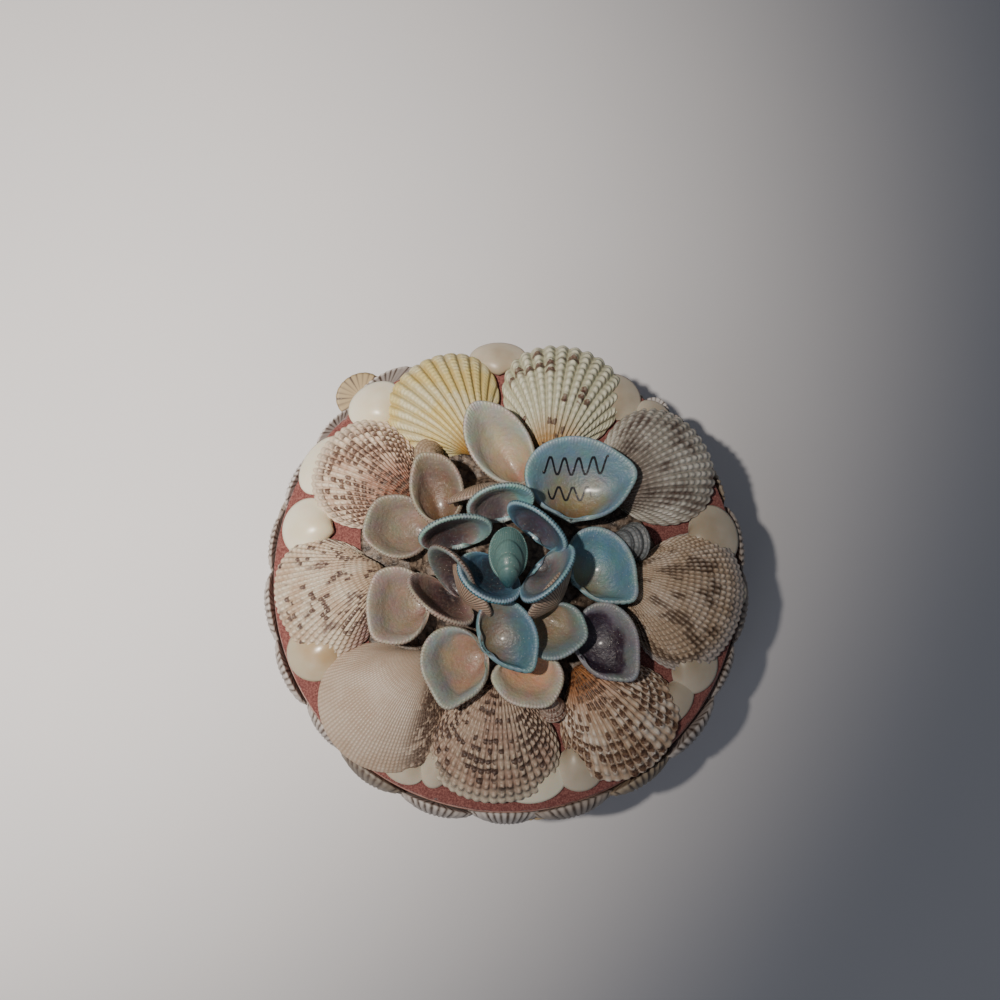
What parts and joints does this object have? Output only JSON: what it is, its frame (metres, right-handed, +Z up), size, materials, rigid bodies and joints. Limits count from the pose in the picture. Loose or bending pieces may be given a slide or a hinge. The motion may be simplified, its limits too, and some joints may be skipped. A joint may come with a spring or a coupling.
{
  "type": "shell trinket box",
  "caption": "Round lidded trinket box: red felt on a card lid covered with seashells laid face down, small shells on the sides and a flower of dyed shells in the middle.",
  "frame": {"origin": "middle of the box's underside", "axes": "+Z up through the lid; +Y towards the lid's far side, where the scallop and the yellow cockle lie; +X to the right"},
  "size_m": [0.1377, 0.1377, 0.0729],
  "materials": {
    "shell_cream": "matte ribbed seashell",
    "shell_white": "matte to satin seashell",
    "shell_grey_brown": "matte knobbed seashell",
    "shell_spotted": "matte spotted seashell",
    "shell_small": "satin seashell",
    "shell_peach": "glossy inside of a seashell",
    "shell_dyed_blue": "dyed and lacquered seashell, glittered",
    "shell_pearly_cream": "lacquered inside of a seashell, glittered",
    "shell_purple": "lacquered inside of a seashell, glittered",
    "shell_dyed_deep_blue": "dyed and lacquered seashell, glittered",
    "shell_dyed_teal": "dyed and lacquered seashell, glittered",
    "shell_brown_pink": "lacquered seashell, glittered",
    "snail_shell": "satin snail shell",
    "glue": "set glue with glitter",
    "box_card": "covered card",
    "lid_card": "covered card",
    "felt": "felt",
    "shell_side": "matte seashell"
  },
  "bodies": {
    "root": {"box": "box_card", "lid": "lid_card", "lid_felt": "felt", "box_side_shells": "shell_side", "lid_side_shells": "shell_side", "glue_bed": "glue", "cockle_yellow": "shell_cream", "scallop_white": "shell_white", "cockle_grey": "shell_grey_brown", "cockle_speckled": "shell_grey_brown", "cockle_row_spotted": "shell_spotted", "cockle_knobbly": "shell_spotted", "clam_plain": "shell_white", "cockle_flecked": "shell_spotted", "cockle_netted": "shell_spotted", "rim_shell_1": "shell_small", "rim_shell_2": "shell_small", "rim_shell_3": "shell_small", "rim_shell_4": "shell_small", "rim_shell_5": "shell_small", "rim_shell_6": "shell_small", "rim_shell_7": "shell_small", "rim_shell_8": "shell_small", "rim_shell_9": "shell_small", "rim_shell_10": "shell_small", "rim_shell_11": "shell_small", "rim_shell_12": "shell_peach", "rim_shell_13": "shell_peach", "rim_shell_14": "shell_small", "rim_shell_15": "shell_small", "snail_tan": "snail_shell", "snail_grey": "snail_shell", "snail_spiral": "snail_shell", "petal_wide_blue": "shell_dyed_blue", "petal_sky_blue": "shell_dyed_blue", "petal_ridged_blue": "shell_dyed_blue", "petal_narrow_cream": "shell_pearly_cream", "petal_pearly_tip": "shell_pearly_cream", "petal_notched_cream": "shell_pearly_cream", "petal_green_cream": "shell_pearly_cream", "petal_peach": "shell_pearly_cream", "petal_long_cream": "shell_pearly_cream", "petal_round_cream": "shell_pearly_cream", "petal_purple": "shell_purple", "heart_crescent_back": "shell_dyed_deep_blue", "heart_crescent_front": "shell_dyed_deep_blue", "heart_deep_blue": "shell_dyed_deep_blue", "heart_rim_left": "shell_dyed_deep_blue", "heart_rim_back": "shell_dyed_deep_blue", "heart_comb": "shell_brown_pink", "heart_brown": "shell_brown_pink", "heart_bud": "shell_dyed_teal"}
  },
  "joints": []
}
